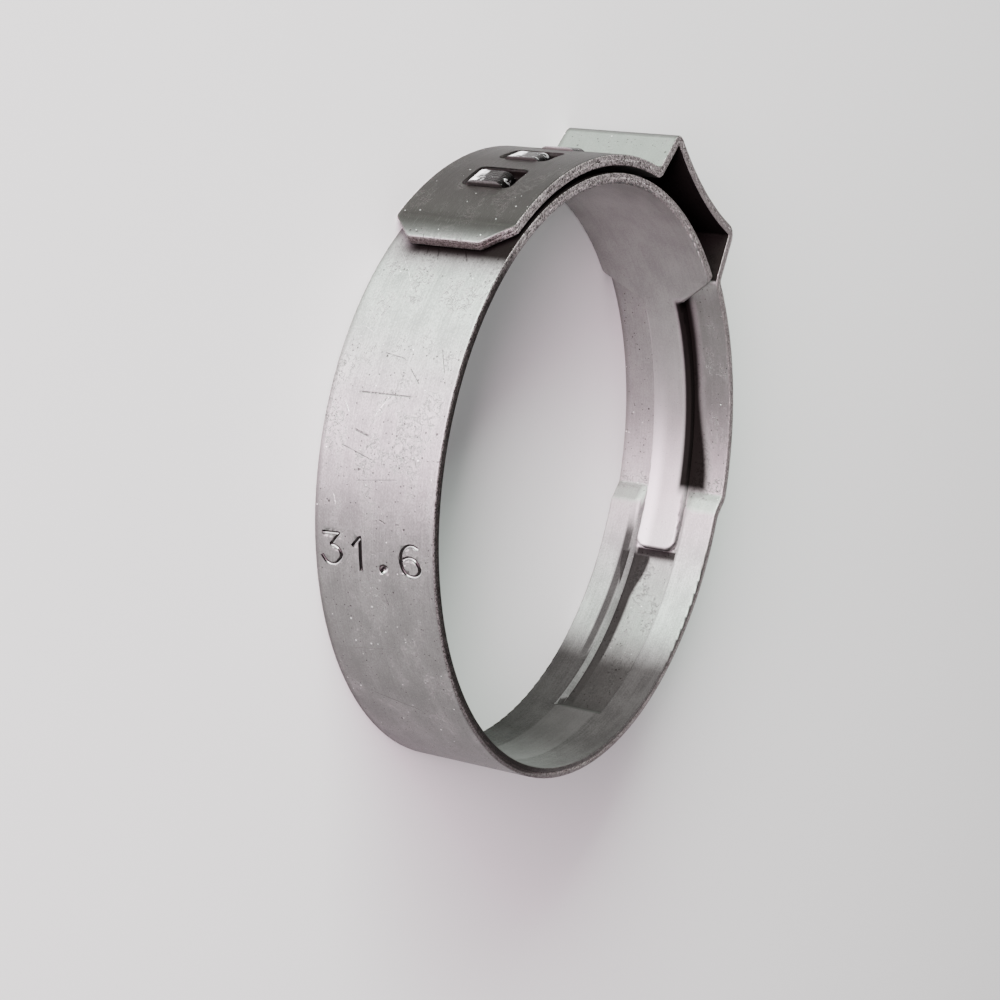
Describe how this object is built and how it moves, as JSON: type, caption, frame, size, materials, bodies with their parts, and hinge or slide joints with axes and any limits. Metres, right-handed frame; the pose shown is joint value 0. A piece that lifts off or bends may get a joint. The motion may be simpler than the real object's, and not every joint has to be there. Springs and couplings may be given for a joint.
{
  "type": "ear hose clamp",
  "caption": "Stepless ear hose clamp: a hooked steel band with a crimping ear, a tongue lying in a pressed channel and a smooth round bore.",
  "frame": {"origin": "on the bore axis, half way between the two edges of the band", "axes": "+Z along the bore axis and out of the band, +Y through the middle of the ear, +X square to both; the free outer end lies on the -X side"},
  "size_m": [0.0338, 0.0357, 0.007],
  "materials": {
    "band_steel": "satin rolled strip with fine scratches"
  },
  "bodies": {
    "root": {"clamp_band": "band_steel"}
  },
  "joints": []
}
